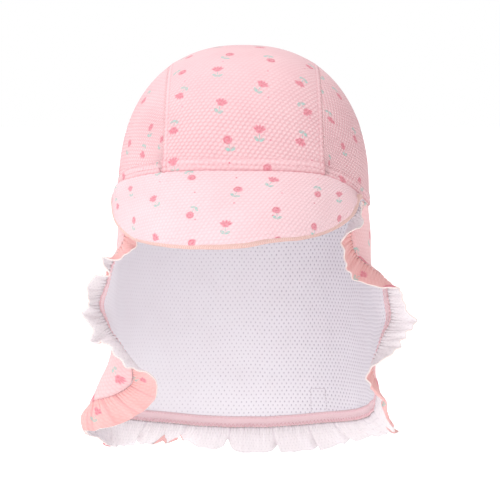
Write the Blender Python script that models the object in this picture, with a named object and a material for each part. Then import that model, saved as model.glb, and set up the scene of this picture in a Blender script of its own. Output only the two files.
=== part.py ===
"""A toddler's swim cap: a crown of three panels, a soft peak, and a neck flap edged with a frill.

The origin is inside the top of the crown, where the cap sits on the head. The face looks along -Y,
+X is the wearer's left and +Z is up. An azimuth is the turn about +Z from the face towards +X.
Every cloth piece is a middle surface worked out by a function and given its wall by Solidify.
"""

import math

import bmesh
import bpy
import numpy as np

# Walls and clearances, in metres
CLOTH = 0.0012
PEAK_THICKNESS = 0.0028
TAPE_THICKNESS = 0.0008
SEAM_GAP = 0.0003

# Crown: a dome of one exponent over the brow plane, with an upright skirt under it
CROWN_HALF_WIDTH = 0.0748
CROWN_HALF_LENGTH = 0.0860
CROWN_HEIGHT = 0.0880
CROWN_FULLNESS = 2.3
STRIP_HALF_WIDTH = 0.0465

# Peak: a padded crescent sewn under the front of the hem
PEAK_REACH = 0.0620
PEAK_SWELL = 0.0030
PEAK_ENDS = math.radians(-83), math.radians(59)
PEAK_LAP_IN = math.radians(12)

# Neck flap: hangs from the rim from one temple round the back to the other
FLAP_DEPTH = 0.1210
FLAP_CORNER = 0.0280
FLAP_END = math.radians(68)
FLAP_HINGE = math.radians(112)

# Edging of the flap
TAPE_WIDTH = 0.0068
FRILL_WIDTH = 0.0190
FRILL_TAPER = 0.025


def table(columns, *rows):
    """A table as a dictionary from each column's name to its values; the first column is the position."""
    names = columns.split()
    return dict(zip(names, np.array(rows, float).T))


# Half width of the middle strip from front hem to back hem, as a share of STRIP_HALF_WIDTH
STRIP = table(
    "along half_width",
    (0.00, 1.00),
    (0.50, 0.93),
    (1.00, 0.80),
)

# Height of the crown's hem over the brow plane, by azimuth as a share of a half turn to each side,
# in shares of CROWN_HEIGHT: arched over the forehead and lowest at the nape
HEM = table(
    "azimuth right_rise left_rise",
    (0.00, 0.167, 0.167),
    (0.10, 0.166, 0.160),
    (0.18, 0.152, 0.135),
    (0.26, 0.122, 0.060),
    (0.33, 0.090, -0.015),
    (0.42, 0.030, -0.075),
    (0.55, -0.050, -0.100),
    (0.75, -0.105, -0.120),
    (0.92, -0.138, -0.139),
    (1.00, -0.140, -0.140),
)

# Peak stations from the wearer's right end to the left one: reach as a share of PEAK_REACH, droop
# below level and heading from the face in degrees
PEAK = table(
    "along reach droop heading",
    (-1.00, 0.00, 24, -14),
    (-0.96, 0.16, 30, -9),
    (-0.82, 0.43, 43, -4),
    (-0.65, 0.71, 45, 3),
    (-0.44, 0.85, 44, 5),
    (-0.21, 0.94, 44, 3),
    (0.03, 0.99, 42, -3),
    (0.24, 1.00, 40, -8),
    (0.42, 0.94, 39, -11),
    (0.59, 0.83, 40, -11),
    (0.73, 0.64, 41, -10),
    (0.82, 0.45, 38, -8),
    (0.88, 0.34, 31, -5),
    (0.94, 0.25, 17, -3),
    (0.98, 0.17, 2, -2),
    (1.00, 0.00, -6, 0),
)

# How the flap hangs, by depth as a share of FLAP_DEPTH: width at the wearer's right and left in
# shares of CROWN_HALF_WIDTH, length at the back in shares of CROWN_HALF_LENGTH, and the turn of
# each front edge in degrees, outwards positive
HANG = table(
    "depth right_width left_width back_length right_turn left_turn",
    (0.00, 1.00, 1.00, 1.00, 0, -1),
    (0.12, 1.01, 1.03, 1.00, -2, -10),
    (0.25, 1.02, 1.03, 1.01, -2, -7),
    (0.38, 1.02, 1.02, 1.02, 5, 10),
    (0.50, 1.03, 1.03, 1.03, 10, 14),
    (0.62, 1.03, 1.04, 1.04, 12, 12),
    (0.74, 1.05, 1.05, 1.05, 2, 4),
    (0.84, 1.11, 1.05, 1.06, -10, 2),
    (0.93, 1.20, 1.06, 1.06, -30, 3),
    (1.02, 1.28, 1.08, 1.07, -60, 0),
    (1.17, 1.32, 1.12, 1.09, -60, 0),
)

# Depth of the flap's lower edge by place round the head, 0 at the back and 1 at a front edge, in
# shares of FLAP_DEPTH
FLAP_EDGE = table(
    "around depth",
    (0.00, 1.165),
    (0.10, 1.162),
    (0.27, 1.140),
    (0.45, 1.110),
    (0.74, 1.030),
    (1.00, 1.000),
)

# Folds of the frill along the flap's edge from the wearer's right temple to the left one: place of
# each crest and hollow as a share of the edge, and how far it swings out of the flap in degrees
FOLDS = table(
    "along swing",
    (0.000, -22),
    (0.020, -14),
    (0.046, 8),
    (0.068, -24),
    (0.086, 16),
    (0.100, -24),
    (0.121, 6),
    (0.143, -18),
    (0.156, 44),
    (0.168, 66),
    (0.180, 50),
    (0.192, 24),
    (0.206, 4),
    (0.220, -18),
    (0.237, 12),
    (0.253, -20),
    (0.270, 14),
    (0.287, -18),
    (0.307, 16),
    (0.333, -26),
    (0.357, 24),
    (0.380, -30),
    (0.402, 26),
    (0.425, -28),
    (0.444, 14),
    (0.463, -30),
    (0.487, 28),
    (0.512, -30),
    (0.537, 26),
    (0.563, -30),
    (0.590, 28),
    (0.608, -20),
    (0.627, 26),
    (0.650, -26),
    (0.675, 22),
    (0.700, -20),
    (0.722, 24),
    (0.745, 28),
    (0.765, 14),
    (0.790, -20),
    (0.807, -12),
    (0.825, 34),
    (0.842, 30),
    (0.863, 28),
    (0.880, -6),
    (0.897, -12),
    (0.913, -62),
    (0.930, -66),
    (0.950, 10),
    (0.972, 62),
    (0.987, 30),
    (1.000, -4),
)

STRIP_ALONG, STRIP_ACROSS = 24, 8
SIDE_ALONG, SIDE_DOWN = 24, 9
PEAK_ALONG, PEAK_OUT = 26, 6
FLAP_AROUND, FLAP_CORNER_STEPS, FLAP_DOWN = 30, 7, 11
FRILL_STEPS_PER_SEAM_STEP, FRILL_OUT = 3, 3

BROW = CLOTH / 2 - CROWN_HEIGHT


def along(rows, column, at):
    """The column's value at each position, on a cubic through the rows whose slope at a row is
    that of its neighbours."""
    places, values = list(rows.values())[0], rows[column]
    slopes = np.gradient(values, places)
    at = np.clip(at, places[0], places[-1])
    i = np.clip(np.searchsorted(places, at, side="right") - 1, 0, len(places) - 2)
    step = places[i + 1] - places[i]
    t = (at - places[i]) / step
    return (
        values[i] * (1 + 2 * t) * (1 - t) ** 2
        + values[i + 1] * t**2 * (3 - 2 * t)
        + slopes[i] * step * t * (1 - t) ** 2
        - slopes[i + 1] * step * t**2 * (1 - t)
    )


def unit(vectors):
    return vectors / np.linalg.norm(vectors, axis=-1, keepdims=True)


def onto_dome(points):
    """Each point, given from the brow plane's centre, moved along its ray onto the crown."""
    x, y, z = np.moveaxis(points, -1, 0)
    size = (
        np.abs(x / CROWN_HALF_WIDTH) ** CROWN_FULLNESS
        + np.abs(y / CROWN_HALF_LENGTH) ** CROWN_FULLNESS
        + (np.maximum(z, 0) / CROWN_HEIGHT) ** CROWN_FULLNESS
    ) ** (1 / CROWN_FULLNESS)
    return points / size[..., None]


def by_side(rows, column, at, left):
    """The column's value for the wearer's left or right side."""
    return np.where(left, along(rows, "left_" + column, at), along(rows, "right_" + column, at))


def hem_height(azimuth):
    """Height of the crown's hem over the brow plane at an azimuth within a half turn."""
    return by_side(HEM, "rise", np.abs(azimuth) / math.pi, azimuth >= 0) * CROWN_HEIGHT


def hem_point(azimuth, below=0.0):
    """Point of the hem's lower edge, or as far below it, from the brow plane's centre."""
    height = hem_height(azimuth)
    left_over = 1 - (np.maximum(height, 0) / CROWN_HEIGHT) ** CROWN_FULLNESS
    size = (
        np.abs(np.sin(azimuth) / CROWN_HALF_WIDTH) ** CROWN_FULLNESS
        + np.abs(np.cos(azimuth) / CROWN_HALF_LENGTH) ** CROWN_FULLNESS
    )
    radius = (left_over / size) ** (1 / CROWN_FULLNESS)
    return np.stack(
        [radius * np.sin(azimuth), -radius * np.cos(azimuth), height - below], axis=-1
    )


def strip_edge(share, offset):
    """Point of the crown over the head, from the front hem at share 0 to the back hem at 1, at an
    offset from the middle plane, positive to the wearer's left."""
    rest = (1 - np.abs(offset / CROWN_HALF_WIDTH) ** CROWN_FULLNESS) ** (1 / CROWN_FULLNESS)
    plan = np.arctan2(offset, CROWN_HALF_LENGTH * rest)
    angles = []
    for azimuth in (plan, np.copysign(math.pi, offset) - plan):
        rise = hem_height(azimuth)
        level = 1 - (np.maximum(rise, 0) / (CROWN_HEIGHT * rest)) ** CROWN_FULLNESS
        angles.append(np.arctan2(rise, CROWN_HALF_LENGTH * rest * level ** (1 / CROWN_FULLNESS)))
    front, back = angles
    turn = front + share * (math.pi - back - front)
    size = (
        np.abs(np.cos(turn) / CROWN_HALF_LENGTH) ** CROWN_FULLNESS
        + (np.maximum(np.sin(turn), 0) / CROWN_HEIGHT) ** CROWN_FULLNESS
    ) ** (1 / CROWN_FULLNESS)
    radius = rest / size
    return np.stack([offset + 0 * turn, -radius * np.cos(turn), radius * np.sin(turn)], axis=-1)


def strip_half_width(share):
    return along(STRIP, "half_width", share) * STRIP_HALF_WIDTH


def flap_point(around, down):
    """Point of the flap's middle surface: around is the length along the rim from the middle of
    the back, positive towards +X, and down the length below the rim. The plan is the rim's, made
    wider with depth, and each front edge turns about an upright hinge line at the cheek."""
    left = around >= 0
    side = np.where(left, 1.0, -1.0)
    share = np.abs(around) / FLAP_HALF_SPAN
    azimuth = math.pi - share * (math.pi - FLAP_END)
    depth = down / FLAP_DEPTH
    width = by_side(HANG, "width", depth, left)
    turn = by_side(HANG, "turn", depth, left)
    length = along(HANG, "back_length", depth)

    def plan(at):
        rim = hem_point(at)
        x = rim[..., 0] * (1 + (width - 1) * np.sin(at))
        y = rim[..., 1] * (1 + (length - 1) * np.maximum(-np.cos(at), 0))
        return x, y

    x, y = plan(azimuth)
    hinge_x, hinge_y = plan(np.full_like(azimuth, FLAP_HINGE))
    past = np.maximum(FLAP_HINGE - azimuth, 0) / (FLAP_HINGE - FLAP_END)
    angle = np.radians(turn) * past**2
    from_x, from_y = x - hinge_x, y - hinge_y
    x = hinge_x + from_x * np.cos(angle) - from_y * np.sin(angle)
    y = hinge_y + from_x * np.sin(angle) + from_y * np.cos(angle)
    height = hem_height(side * azimuth) - SEAM_GAP - down
    return np.stack([side * x, y, height], axis=-1)


def flap_slopes(around, down):
    """The flap's two unit directions, round the head and down, and its outward normal."""
    step = FLAP_DEPTH / 400
    across = unit(flap_point(around + step, down) - flap_point(around - step, down))
    below = unit(flap_point(around, down + step) - flap_point(around, down - step))
    return across, below, unit(np.cross(across, below))


def rim_length():
    """Length of the rim from the middle of the back to the flap's front edge."""
    points = hem_point(np.linspace(FLAP_END, math.pi, 400))[:, :2]
    return float(np.linalg.norm(np.diff(points, axis=0), axis=1).sum())


FLAP_HALF_SPAN = rim_length()


def flap_bottom(around, inset):
    """Depth of the flap's lower edge, rounded at its corners, less an inset that runs all along it."""
    depth = along(FLAP_EDGE, "depth", np.abs(around) / FLAP_HALF_SPAN) * FLAP_DEPTH - inset
    radius = FLAP_CORNER - inset
    into = np.clip(np.abs(around) - (FLAP_HALF_SPAN - FLAP_CORNER), 0, radius)
    return depth - radius + np.sqrt(radius**2 - into**2)


def flap_columns(inset):
    """Places round the head of the flap's columns, closer together in the rounded corners."""
    radius = FLAP_CORNER - inset
    straight = FLAP_HALF_SPAN - FLAP_CORNER
    arc = np.sin(np.linspace(0, math.pi / 2, FLAP_CORNER_STEPS + 1)) * radius
    middle = np.linspace(-straight, straight, FLAP_AROUND + 1)
    return np.concatenate([-straight - arc[:0:-1], middle, straight + arc[1:]])


def flap_grid():
    """Flat places of the flap inside its edging, rows down and columns round the head."""
    around = flap_columns(TAPE_WIDTH)
    share = np.linspace(0, 1, FLAP_DOWN + 1)[:, None]
    return around + 0 * share, share * flap_bottom(around, TAPE_WIDTH)


def flap_rim(grid_around, grid_down):
    """The border of the flap's grid from one temple down, round the bottom and up to the other,
    with its outward direction in the flat cloth."""
    around = np.concatenate([grid_around[:-1, 0], grid_around[-1], grid_around[-2::-1, -1]])
    down = np.concatenate([grid_down[:-1, 0], grid_down[-1], grid_down[-2::-1, -1]])
    run, drop = np.gradient(around), np.gradient(down)
    length = np.hypot(run, drop)
    out_around, out_down = -drop / length, run / length
    out_around[0], out_down[0] = -1, 0
    out_around[-1], out_down[-1] = 1, 0
    return around, down, out_around, out_down


def edge_shares(around, down):
    steps = np.hypot(np.diff(around), np.diff(down))
    return np.concatenate([[0], np.cumsum(steps)]) / steps.sum()


def sheet_mesh(name, points):
    """A mesh of quads over a grid of points given from the brow plane's centre; a side of the grid
    that is drawn to one point becomes a fan."""
    rows, columns = points.shape[:2]
    corner = np.arange((rows - 1) * columns).reshape(rows - 1, columns)[:, :-1].ravel()
    faces = np.stack([corner, corner + 1, corner + columns + 1, corner + columns], axis=1)
    mesh = bpy.data.meshes.new(name)
    mesh.from_pydata((points.reshape(-1, 3) + (0, 0, BROW)).tolist(), [], faces.tolist())
    merge_corners(mesh)
    return mesh


def merge_corners(mesh):
    work = bmesh.new()
    work.from_mesh(mesh)
    bmesh.ops.remove_doubles(work, verts=work.verts, dist=SEAM_GAP / 10)
    work.to_mesh(mesh)
    work.free()


def cloth_material(name, colour, roughness):
    """A dull dielectric of one colour for a cloth."""
    material = bpy.data.materials.new(name)
    material.use_nodes = True
    shader = material.node_tree.nodes["Principled BSDF"]
    shader.inputs["Base Color"].default_value = (*colour, 1)
    shader.inputs["Roughness"].default_value = roughness
    shader.inputs["Metallic"].default_value = 0
    return material


def add_cloth(name, points, thickness, material, towards=0.0):
    """A named sheet of cloth over a grid of points; towards is where its wall lies, 0 on both sides
    of the surface."""
    mesh = sheet_mesh(name, points)
    mesh.materials.append(material)
    mesh.shade_smooth()
    sheet = bpy.data.objects.new(name, mesh)
    bpy.context.scene.collection.objects.link(sheet)
    wall = sheet.modifiers.new("wall", "SOLIDIFY")
    wall.thickness = thickness
    wall.offset = towards
    return sheet


def build_crown_strip(material):
    """The middle panel: rows from front hem to back hem, columns across the head."""
    share = np.linspace(0, 1, STRIP_ALONG + 1)[:, None]
    across = np.linspace(-1, 1, STRIP_ACROSS + 1)[None, :]
    half_width = strip_half_width(share) * across
    add_cloth("crown_middle_panel", strip_edge(share, half_width), CLOTH, material)


def build_crown_side(name, side, material):
    """A side panel: between the seam over the head and the hem round the ear, each row spread
    over the dome from the one to the other."""
    share = np.linspace(0, 1, SIDE_ALONG + 1)
    seam = strip_edge(share, side * (strip_half_width(share) + SEAM_GAP))
    first = math.atan2(seam[0, 0], -seam[0, 1])
    last = math.atan2(seam[-1, 0], -seam[-1, 1])
    hem = hem_point(first + share * (last - first))
    hem[0], hem[-1] = seam[0], seam[-1]
    down = np.linspace(0, 1, SIDE_DOWN + 1)[:, None, None]
    panel = onto_dome(seam * (1 - down) + hem * down)
    panel[-1] = hem
    add_cloth(name, panel[:, ::side], CLOTH, material)


def build_peak(material):
    """The peak: rows from the hem out to its free edge, columns from end to end."""
    place = np.sin(np.linspace(-math.pi / 2, math.pi / 2, PEAK_ALONG + 1))
    azimuth = np.interp(place, (-1, 1), PEAK_ENDS)
    root = hem_point(azimuth, SEAM_GAP + PEAK_THICKNESS * 0.7)
    lap = np.clip((np.abs(azimuth) - FLAP_END) / PEAK_LAP_IN + 1, 0, 1)
    lap *= (CLOTH + PEAK_THICKNESS) / 2 + SEAM_GAP
    root[:, :2] *= 1 + (lap / np.hypot(root[:, 0], root[:, 1]))[:, None]
    reach = along(PEAK, "reach", place) * PEAK_REACH
    droop = np.radians(along(PEAK, "droop", place))
    heading = np.radians(along(PEAK, "heading", place))
    forward = np.stack([np.sin(heading), -np.cos(heading), 0 * heading], axis=-1)
    up = np.array([0.0, 0.0, 1.0])
    outward = forward * np.cos(droop)[:, None] - up * np.sin(droop)[:, None]
    above = forward * np.sin(droop)[:, None] + up * np.cos(droop)[:, None]
    out = np.linspace(0, 1, PEAK_OUT + 1)[:, None, None]
    swell = PEAK_SWELL * (reach / PEAK_REACH)[:, None] * np.sin(math.pi * out)
    points = root + outward * reach[:, None] * out + above * swell
    add_cloth("peak", points[:, ::-1], PEAK_THICKNESS, material)


def build_flap(material):
    """The neck flap: its inner grid, and a ring of quads as wide as the tape round it."""
    around, down = flap_grid()
    rim_around, rim_down, out_around, out_down = flap_rim(around, down)
    grid = flap_point(around, down)
    ring = flap_point(rim_around + out_around * TAPE_WIDTH, rim_down + out_down * TAPE_WIDTH)
    inner = flap_point(rim_around, rim_down)
    flap = add_cloth("neck_flap", grid, CLOTH, material)
    edging = sheet_mesh("neck_flap_ring", np.stack([inner, ring]))
    joined = bmesh.new()
    joined.from_mesh(flap.data)
    joined.from_mesh(edging)
    bmesh.ops.remove_doubles(joined, verts=joined.verts, dist=SEAM_GAP / 10)
    bmesh.ops.recalc_face_normals(joined, faces=joined.faces)
    joined.to_mesh(flap.data)
    joined.free()
    bpy.data.meshes.remove(edging)


def build_tape(material):
    """The tape sewn over the seam on the inside of the flap's edge."""
    around, down, out_around, out_down = flap_rim(*flap_grid())
    across = np.array([0.0, 1.0])[:, None] * TAPE_WIDTH
    tape_around, tape_down = around + out_around * across, down + out_down * across
    normal = flap_slopes(tape_around, tape_down)[2]
    inside = CLOTH / 2 + SEAM_GAP + TAPE_THICKNESS / 2
    points = flap_point(tape_around, tape_down) - normal * inside
    add_cloth("edge_tape", points, TAPE_THICKNESS, material)


def build_frill(material):
    """The frill: leaves the flap's edge square to the seam and swings out of its surface, fold by
    fold."""
    around, down, out_around, out_down = flap_rim(*flap_grid())
    shares = edge_shares(around, down)
    steps = (len(around) - 1) * FRILL_STEPS_PER_SEAM_STEP
    fine = np.interp(np.linspace(0, len(around) - 1, steps + 1), np.arange(len(around)), shares)
    around, down, out_around, out_down = (
        np.interp(fine, shares, values) for values in (around, down, out_around, out_down)
    )
    around, down = around + out_around * TAPE_WIDTH, down + out_down * TAPE_WIDTH
    seam = flap_point(around, down)
    normal = flap_slopes(around, down)[2]
    outward = unit(np.cross(normal, np.gradient(seam, axis=0)))
    out = np.linspace(0, 1, FRILL_OUT + 1)[:, None]
    ends = np.minimum(fine, 1 - fine) / FRILL_TAPER
    width = SEAM_GAP + out * (FRILL_WIDTH * np.clip(ends, 0.2, 1) ** 0.7 - SEAM_GAP)
    swing = np.radians(along(FOLDS, "swing", fine)) * out
    points = (
        seam
        + outward * (width * np.cos(swing))[..., None]
        + normal * (width * np.sin(swing))[..., None]
    )
    add_cloth("frill", points, CLOTH, material)


def main():
    for stale in list(bpy.data.objects):
        bpy.data.objects.remove(stale)
    printed = cloth_material("printed_pique_knit", (0.91, 0.66, 0.70), 0.85)
    padded = cloth_material("peak_pique_over_foam", (0.93, 0.70, 0.73), 0.85)
    gathered = cloth_material("frill_pique_knit", (0.93, 0.62, 0.60), 0.85)
    braid = cloth_material("edge_tape_rib_knit", (0.90, 0.58, 0.60), 0.8)
    build_crown_strip(printed)
    build_crown_side("crown_left_panel", 1, printed)
    build_crown_side("crown_right_panel", -1, printed)
    build_peak(padded)
    build_flap(printed)
    build_tape(braid)
    build_frill(gathered)


main()
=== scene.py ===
import math
from functools import partial

import bpy
import numpy as np
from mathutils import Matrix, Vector


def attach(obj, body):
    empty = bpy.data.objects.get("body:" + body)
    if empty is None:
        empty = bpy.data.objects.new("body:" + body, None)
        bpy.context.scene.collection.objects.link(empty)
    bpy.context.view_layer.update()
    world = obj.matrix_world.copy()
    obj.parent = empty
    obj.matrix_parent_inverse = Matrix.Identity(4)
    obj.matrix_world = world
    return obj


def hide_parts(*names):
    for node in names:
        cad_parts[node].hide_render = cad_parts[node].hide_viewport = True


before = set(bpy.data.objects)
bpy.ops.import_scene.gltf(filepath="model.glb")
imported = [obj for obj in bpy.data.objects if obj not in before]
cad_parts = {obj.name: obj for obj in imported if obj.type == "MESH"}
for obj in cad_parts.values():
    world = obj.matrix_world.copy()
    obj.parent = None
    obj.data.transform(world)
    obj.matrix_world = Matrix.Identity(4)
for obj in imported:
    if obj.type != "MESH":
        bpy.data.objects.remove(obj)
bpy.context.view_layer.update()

# Walls and clearances in metres, as in the CAD but for the tape, whose cloth is thinner here
CLOTH = 0.0012
PEAK_THICKNESS = 0.0028
TAPE_CLOTH = 0.00035
SEAM_GAP = 0.0003

# Crown, as in the CAD
CROWN_HALF_WIDTH = 0.0748
CROWN_HALF_LENGTH = 0.0860
CROWN_HEIGHT = 0.0880
CROWN_FULLNESS = 2.3
STRIP_HALF_WIDTH = 0.0465
BROW = CLOTH / 2 - CROWN_HEIGHT

# Peak, as in the CAD but for the rows near the wearer's left end. Its free edge is rolled over a
# cord of foam, a row of stitches sinks in beside the roll, and its root is tucked in under the hem.
PEAK_REACH = 0.0620
PEAK_SWELL = 0.0030
PEAK_ENDS = math.radians(-83), math.radians(59)
PEAK_LAP_IN = math.radians(12)
PEAK_ROLL = 0.0013
PEAK_TUCK = 0.0014
PEAK_ROW = 0.0042
PEAK_ROW_DIP = 0.0003

# Neck flap and its edging, as in the CAD but for the thinner cloth of the frill and the low crown
# and the ribs across the tape
FLAP_DEPTH = 0.1210
FLAP_CORNER = 0.0280
FLAP_END = math.radians(68)
FLAP_HINGE = math.radians(112)
TAPE_WIDTH = 0.0068
TAPE_CROWN = 0.00045
TAPE_RIB = 0.00005
FRILL_WIDTH = 0.0190
FRILL_TAPER = 0.025
FRILL_CLOTH = 0.0009
FRILL_FULLNESS = 1.45
RIM_STEPS = 420, 60, 110

# Turned hem of the crown and the lapped allowance of its seams, with their rows of stitches
HEM_BAND = 0.0075
HEM_ROWS = 0.0068, 0.0034
HEM_LIFT = 0.00060
HEM_ROLL = 0.0003
SEAM_BAND = 0.0038
SEAM_ROWS = 0.0008, 0.0031
SEAM_LIFT = 0.00025
SEAM_ROLL = 0.00014
STITCH_PITCH = 0.0027
STITCH_DIP = 0.00045
STITCH_SOFT = 0.00055
STITCH_SUNK = 0.8 * STITCH_DIP
BAND_SOFT = 0.0009
SEAM_SOFT = 0.0006

# Thread of the stitches: the sides of its section, its thickness on the crown, the tape and the
# rectangle inside the back, and the zigzag's step and the two lines it runs between, from the
# tape's inner edge
THREAD_SIDES = 6
CROWN_THREAD, TAPE_THREAD, PATCH_THREAD = 0.00042, 0.00045, 0.00034
ZIGZAG_STEP = 0.0013
ZIGZAG_LINES = TAPE_WIDTH - 0.0021, TAPE_WIDTH + 0.0003

# The stitched rectangle inside the back: its sides round the head from the middle of the back, and
# its bottom and top below the rim
PATCH_SIDES = 0.0407, 0.0507
PATCH_LEVELS = 0.1310, 0.1155

# Relief of the flap: the ridge beside its seam and how far in it stands, how deep the seam draws
# the edge in, its pucker and slow sway near the seam, and its drape
FLAP_RIDGE = 0.00045
FLAP_RIDGE_AT = 0.0024
FLAP_DRAW = 0.0004
FLAP_PUCKER = 0.00016
FLAP_SWAY = 0.0006
FLAP_DRAPE = 0.0007

# How quiet the crown's weave gets towards its top, in relief and in its furrows' painted shade,
# from this height over the brow plane on, and how much livelier towards the wearer's left, the
# side away from the light, which takes more painted shade
QUIET_TOP = 0.75
QUIET_FROM = 0.043
LIVELY_LEFT = 0.6
LIVELY_FROM = 0.03

# Gathers of the frill at its seam
GATHER_PITCH = 0.0021
GATHER_SWING = 0.00075
GATHER_FADE = 0.0055

# Pique knit in millimetres: raised cells in staggered rows, drawn a little coarser than the real
# knit so that they show, and how much stronger its furrows are along one slant
CELL_ACROSS = 2.85
CELL_ROW = 2.30
WEAVE_SLANT = 0.55

# Ditsy print: one sprig to a tile, in millimetres
PRINT_TILE = 25.0
PRINT_WANDER = 9.5

# The chance of a tile over which it has a rose in place of a tulip, or a dot; how far a sprig leans
# in radians and its outline wobbles; and how soft the ink's edges are
ROSE_OVER = 0.55
DOT_OVER = 0.35
SPRIG_LEAN = 0.7
INK_WOBBLE = 0.22
INK_SOFT = 0.22

# Floor of the studio
FLOOR_Z = -0.300
FLOOR_HALF = 40.0


def table(columns, *rows):
    """A table as a dictionary from each column's name to its values, the position first."""
    names = columns.split()
    return dict(zip(names, np.array(rows, float).T))


STRIP = table(
    "along half_width",
    (0.00, 1.00),
    (0.50, 0.93),
    (1.00, 0.80),
)

HEM = table(
    "azimuth right_rise left_rise",
    (0.00, 0.167, 0.167),
    (0.10, 0.166, 0.160),
    (0.18, 0.152, 0.135),
    (0.26, 0.122, 0.060),
    (0.33, 0.090, -0.015),
    (0.42, 0.030, -0.075),
    (0.55, -0.050, -0.100),
    (0.75, -0.105, -0.120),
    (0.92, -0.138, -0.139),
    (1.00, -0.140, -0.140),
)

PEAK = table(
    "along reach droop heading",
    (-1.00, 0.00, 24, -14),
    (-0.96, 0.15, 30, -7),
    (-0.82, 0.41, 43, -1),
    (-0.65, 0.69, 45, 4),
    (-0.44, 0.85, 44, 5),
    (-0.21, 0.94, 44, 3),
    (0.03, 0.99, 42, -3),
    (0.24, 1.00, 40, -8),
    (0.42, 0.94, 39, -11),
    (0.59, 0.83, 41, -9),
    (0.73, 0.62, 43, -6),
    (0.82, 0.46, 39, 0),
    (0.88, 0.36, 31, 2),
    (0.94, 0.24, 14, 0),
    (0.98, 0.17, -4, -1),
    (1.00, 0.00, -6, 0),
)

HANG = table(
    "depth right_width left_width back_length right_turn left_turn",
    (0.00, 1.00, 1.00, 1.00, 0, -1),
    (0.12, 1.01, 1.03, 1.00, -2, -10),
    (0.25, 1.02, 1.03, 1.01, -2, -7),
    (0.38, 1.02, 1.02, 1.02, 5, 10),
    (0.50, 1.03, 1.03, 1.03, 10, 14),
    (0.62, 1.03, 1.04, 1.04, 12, 12),
    (0.74, 1.05, 1.05, 1.05, 2, 4),
    (0.84, 1.11, 1.05, 1.06, -10, 2),
    (0.93, 1.20, 1.06, 1.06, -30, 3),
    (1.02, 1.28, 1.08, 1.07, -60, 0),
    (1.17, 1.32, 1.12, 1.09, -60, 0),
)

FLAP_EDGE = table(
    "around depth",
    (0.00, 1.165),
    (0.10, 1.162),
    (0.27, 1.140),
    (0.45, 1.110),
    (0.74, 1.030),
    (1.00, 1.000),
)

FOLDS = table(
    "thousandths swing lean",
    (0, -22, 0), (20, -14, 0), (46, -4, 8), (55, -6, 4), (62, -12, 4), (68, -12, 4), (74, -10, 4),
    (80, -4, 4), (86, 10, -4), (93, 0, -4), (100, -20, -4), (107, -2, -8), (115, 8, 0),
    (124, 0, 0), (135, -12, -4), (142, -4, -8), (149, 18, -12), (156, 20, -4), (162, 30, -4),
    (168, 50, -8), (174, 48, -8), (181, 42, -24), (187, 46, -20), (193, 52, -12), (198, 46, -20),
    (203, 38, -24), (208, 27, -22), (214, 29, -27), (220, 30, -30), (226, 24, -30), (232, 8, -28),
    (238, -10, -25), (244, -15, -20), (250, -6, -16), (256, -2, -12), (262, 0, -4), (270, 4, -8),
    (278, 3, -13), (286, -4, -15), (295, -13, -14), (305, -22, -12), (320, -26, -8), (330, -20, 0),
    (340, -18, 4), (350, -8, 10), (360, 4, 14), (370, 14, 14), (380, 20, 10), (390, 25, 8),
    (400, 29, 6), (410, 32, 0), (420, 28, 0), (430, 34, 0), (440, 42, 0), (450, 46, 0),
    (460, 32, 0), (470, 28, 0), (480, 34, 0), (490, 26, 0), (500, 18, 0), (510, 16, 0),
    (520, 20, 0), (530, 20, 0), (540, 16, 0), (550, 18, 0), (560, 20, 0), (570, 18, 0),
    (580, 16, 0), (590, 32, 0), (600, 34, 0), (610, 40, 0), (620, 44, 0), (630, 48, 0),
    (640, 48, 0), (650, 50, 0), (660, 50, 0), (670, 50, 0), (680, 50, 0), (690, 45, -5),
    (700, 42, -4), (710, 40, 0), (720, 38, 0), (730, 38, 0), (740, 36, 2), (750, 36, 2),
    (760, 36, 2), (768, 36, 2), (778, 36, 0), (785, 34, 0), (790, 26, 0), (795, 14, 3),
    (800, 4, 6), (805, -3, 8), (810, -3, 4), (816, 0, -4), (821, 10, -8), (826, 22, 0),
    (833, 32, 12), (841, 34, 20), (849, 30, 20), (857, 22, 12), (865, 22, 8), (873, 0, 4),
    (881, -6, 4), (890, -6, 4), (899, -12, 4), (906, -14, -4), (912, -28, -4), (918, -36, 0),
    (925, -38, 0), (932, -32, -4), (940, -12, -12), (946, 6, -16), (953, 16, -12), (960, 22, -8),
    (966, 32, -4), (972, 46, 0), (978, 58, 0), (984, 60, 4), (990, 42, -4), (1000, 6, 0),
)

# Along the frill's seam, from 0 to 1: the sharp creases between its broad lobes, with half their
# width and their swing in degrees; the lines of painted shade that fan over its corner, and half
# the width at which they and the creases take painted shade; a puff of cloth beside the corner;
# and where the edge is flipped up and shows its printed face, each flip a place, half its length
# and the share of the frill's width that turns over
CREASES = 0.352, 0.398, 0.441, 0.484, 0.532, 0.572, 0.604, 0.634, 0.664
CREASE_WIDTH = 0.0030
CREASE_SWING = 22
CORNER_FOLDS = 0.222, 0.236, 0.247, 0.2625, 0.2655
FOLD_LINE_WIDTH = 0.0009
PUFF_PLACE = 0.274
PUFF_HEIGHT = 0.0042
FLIPS = (
    (0.4225, 0.0085, 0.27),
    (0.4385, 0.0085, 0.27),
    (0.7555, 0.0080, 0.24),
    (0.7880, 0.0180, 0.27),
)

# Motifs of the print, each an ellipse in millimetres from the flower's middle, turned from upright
# in degrees; a bloom is five petals in a cup, and its sprig has a stem and two leaves
BLOOM = (
    (-2.20, 0.35, 1.75, 0.95, 58),
    (-1.25, 1.05, 2.05, 1.00, 28),
    (0.00, 1.25, 2.05, 0.95, 0),
    (1.25, 1.05, 2.05, 1.00, -28),
    (2.20, 0.35, 1.75, 0.95, -58),
    (0.00, -0.95, 1.35, 2.20, 0),
)
SPRIG = (
    (0.30, -3.60, 1.80, 0.28, 6),
    (-1.05, -5.60, 1.90, 1.10, 50),
    (1.85, -5.90, 1.95, 1.10, -62),
)


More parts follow.
